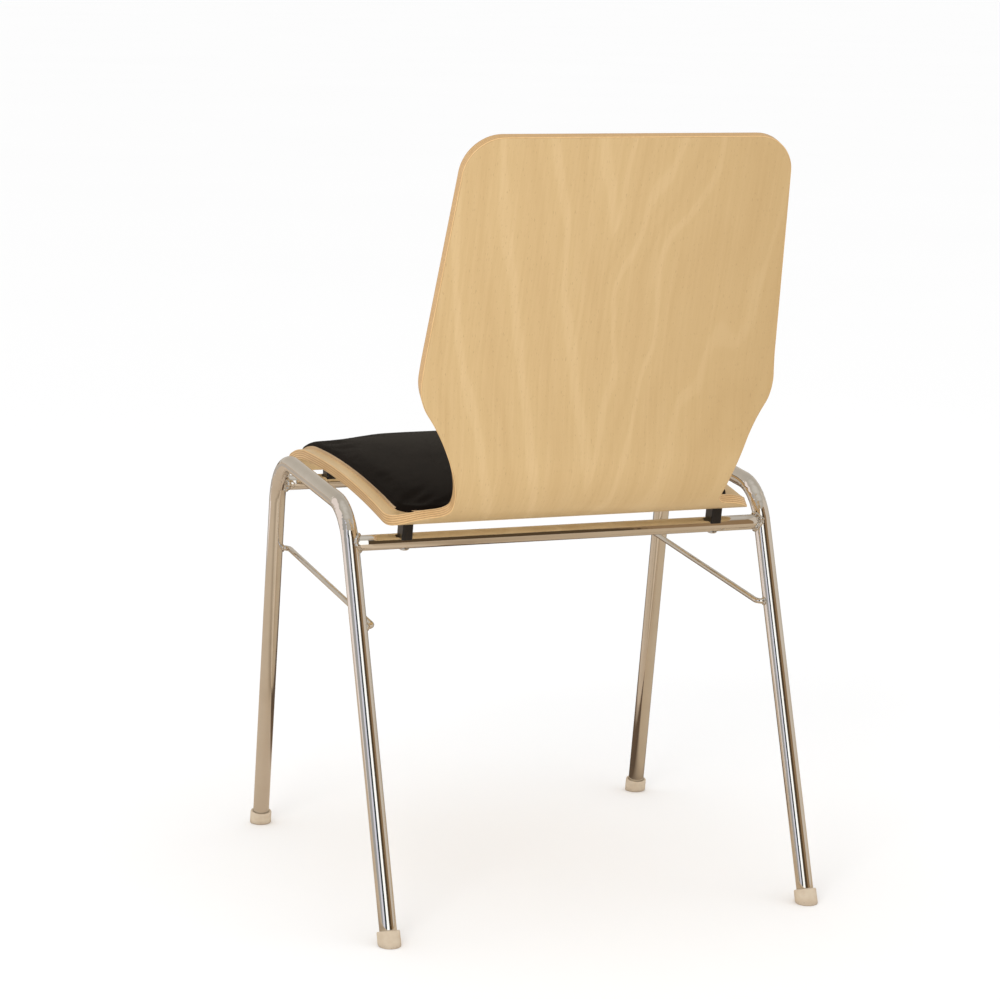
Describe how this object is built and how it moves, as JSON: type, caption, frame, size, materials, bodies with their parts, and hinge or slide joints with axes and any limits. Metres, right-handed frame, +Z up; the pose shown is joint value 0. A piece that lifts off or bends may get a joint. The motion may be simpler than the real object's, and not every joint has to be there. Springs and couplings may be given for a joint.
{
  "type": "stacking chair",
  "caption": "Stacking chair with a moulded plywood shell and a thin black seat pad on a chromed bent-tube frame with plastic foot glides.",
  "frame": {"origin": "on the floor, midway between the four feet; the middle of the chair's box lies 4 mm behind it", "axes": "+Z up, the chair faces -Y, the sitter's left is +X"},
  "size_m": [0.494, 0.5241, 0.8216],
  "materials": {
    "frame_chrome": "bright chrome plating on steel tube",
    "weld_chrome": "plated weld bead, lumpy",
    "glide_plastic": "moulded cream plastic, slightly worn",
    "spacer_plastic": "moulded black plastic",
    "screw_steel": "zinc-plated pan head",
    "nut_steel": "zinc-plated pressed steel",
    "shell_plywood": "clear-lacquered beech plywood, satin",
    "pad_plywood": "raw thin plywood",
    "pad_foam": "open-cell foam",
    "pad_leatherette": "black grained leatherette, satin"
  },
  "bodies": {
    "root": {"side_frame_left": "frame_chrome", "side_frame_right": "frame_chrome", "front_crossbar": "frame_chrome", "rear_crossbar": "frame_chrome", "link_bar_left": "frame_chrome", "link_bar_right": "frame_chrome", "crossbar_welds": "weld_chrome", "link_bar_welds": "weld_chrome", "foot_glide_front_left": "glide_plastic", "foot_glide_front_right": "glide_plastic", "foot_glide_rear_left": "glide_plastic", "foot_glide_rear_right": "glide_plastic", "shell": "shell_plywood", "pad_board": "pad_plywood", "pad_foam": "pad_foam", "pad_cover": "pad_leatherette", "shell_spacer_front_left": "spacer_plastic", "shell_spacer_front_right": "spacer_plastic", "shell_spacer_rear_left": "spacer_plastic", "shell_spacer_rear_right": "spacer_plastic", "shell_screws": "screw_steel", "shell_tee_nuts": "nut_steel"}
  },
  "joints": []
}
